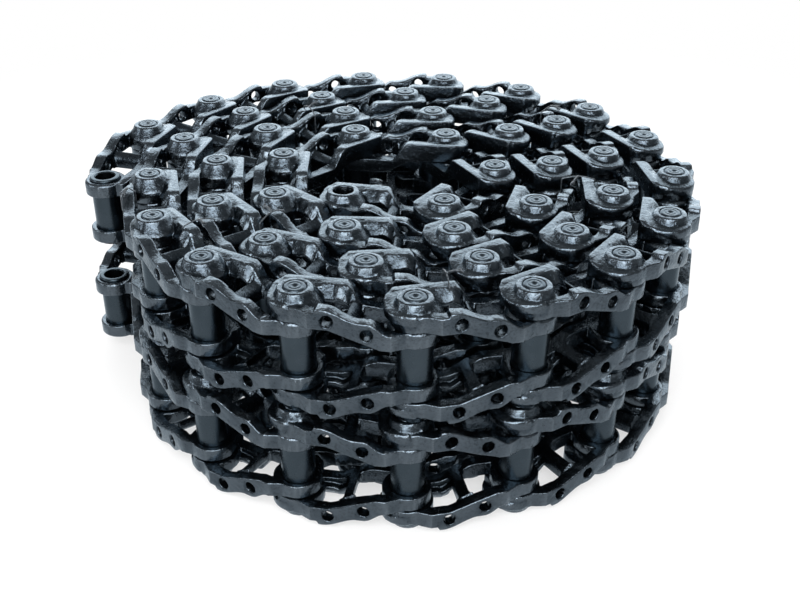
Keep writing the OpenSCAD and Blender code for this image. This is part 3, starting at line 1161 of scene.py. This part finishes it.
@dataclass
class Studio:
    """Pale floor, soft light and the camera."""

    lens: float = 48.96
    sensor: float = 36.0
    camera_spot: tuple[float, float, float] = (0.58646, -1.89183, 1.26461)
    camera_down: float = 29.885
    camera_heading: float = 16.425
    floor_r: float = 20.0
    floor_steps: int = 64
    wall_r: float = 22.0
    wall_height: float = 2.0
    floor_tone: float = 0.92
    floor_roughness: float = 0.8
    white_near: float = 0.60
    shadow_r: tuple[float, float] = (0.9, 2.4)
    ambient: float = 0.34
    aim: tuple[float, float, float] = (0.0, 0.0, 0.3)
    lamps: tuple[Softbox, ...] = (
        Softbox("back_softbox", (-0.2, 2.6, 1.6), (6.4, 2.8), 165.0),
        Softbox("front_top_softbox", (0.6, -2.5, 2.3), (2.8, 1.4), 110.0),
        Softbox("front_low_softbox", (0.3, -3.2, 1.3), (2.4, 0.8), 36.0),
        Softbox("left_softbox", (-2.8, -1.4, 1.5), (1.0, 1.0), 22.0))

    def build(self) -> None:
        """Builds the floor, the light and the camera."""
        self._floor()
        self._world()
        for lamp in self.lamps:
            lamp.build(Vector(self.aim))
        self._camera()

    def _floor(self) -> None:
        """A plain pale floor that rises into a low wall far out. It looks white and keeps the shadow."""
        work = bmesh.new()
        steps = self.floor_steps
        angles = [math.tau * k / steps for k in range(steps)]
        rings = [[work.verts.new((r * math.cos(a), r * math.sin(a), z)) for a in angles]
                 for r, z in ((self.floor_r, 0.0), (self.wall_r, self.wall_height))]
        work.faces.new(rings[0])
        for k in range(steps):
            n = (k + 1) % steps
            work.faces.new((rings[0][k], rings[1][k], rings[1][n], rings[0][n]))
        mesh = bpy.data.meshes.new("floor")
        work.to_mesh(mesh)
        work.free()
        floor = new_object("floor", mesh)
        t = ShaderTree.of("pale_floor")
        tone = (self.floor_tone, self.floor_tone, self.floor_tone, 1.0)
        matt = t.node("ShaderNodeBsdfPrincipled", {}, {"Base Color": tone, "Roughness": self.floor_roughness})
        white = t.node("ShaderNodeEmission", {}, {"Color": (1.0, 1.0, 1.0, 1.0), "Strength": 1.0})
        away = t.node("ShaderNodeVectorMath", {"operation": "LENGTH"}, {0: t.spot()}, "Value")
        share = self.white_near + (1.0 - self.white_near) * away.between(*self.shadow_r)
        mixed = t.node("ShaderNodeMixShader", {}, {0: t.seen() * share, 1: matt, 2: white})
        floor.data.materials.append(t.end(mixed, "ShaderNodeOutputMaterial"))

    def _world(self) -> None:
        """Even dim light from all round."""
        world = bpy.data.worlds.new("studio")
        bpy.context.scene.world = world
        t = ShaderTree(world)
        even = t.node("ShaderNodeBackground", {}, {"Color": (1.0, 1.0, 1.0, 1.0), "Strength": self.ambient})
        t.end(even, "ShaderNodeOutputWorld")

    def _camera(self) -> None:
        """The photograph's camera."""
        camera = bpy.data.cameras.new("camera")
        camera.lens = self.lens
        camera.sensor_width = self.sensor
        made = bpy.data.objects.new("camera", camera)
        made.location = self.camera_spot
        made.rotation_euler = (math.radians(90 - self.camera_down), 0.0, math.radians(self.camera_heading))
        bpy.context.scene.collection.objects.link(made)
        bpy.context.scene.camera = made


def main() -> None:
    """Builds the chains, the ties and the studio."""
    logging.basicConfig(level=logging.INFO, format="%(name)s: %(message)s")
    bpy.context.scene.view_settings.view_transform = "Standard"
    layout = ChainLayout()
    sizes = TurnedSizes()
    masters = {
        "left_link": ForgedLink(layout, Hand.LEFT).build(),
        "right_link": ForgedLink(layout, Hand.RIGHT).build(),
        "bushing": sizes.bushing().build(),
        "pin": sizes.pin(layout.pitch).build(),
        "seals": sizes.seals(layout.pitch).build(),
    }
    forged = ForgedPaint().material()
    finishes = {
        "left_link": forged,
        "right_link": forged,
        "bushing": GroundPaint().material(),
        "pin": TurnedPaint().material(),
        "seals": SealRubber().material(),
    }
    slots = {
        "left_link": "forged_link",
        "right_link": "forged_link",
        "bushing": "bushing",
        "pin": "pin",
        "seals": "seal",
    }
    laying = LayingTree()
    for chain in Chain:
        TrackChain(chain, layout, laying, masters, finishes, slots).build()
    for master in masters.values():
        bpy.data.objects.remove(master)
    TieWires(WireSteel().material()).build()
    Studio().build()


if __name__ == "__main__":
    main()
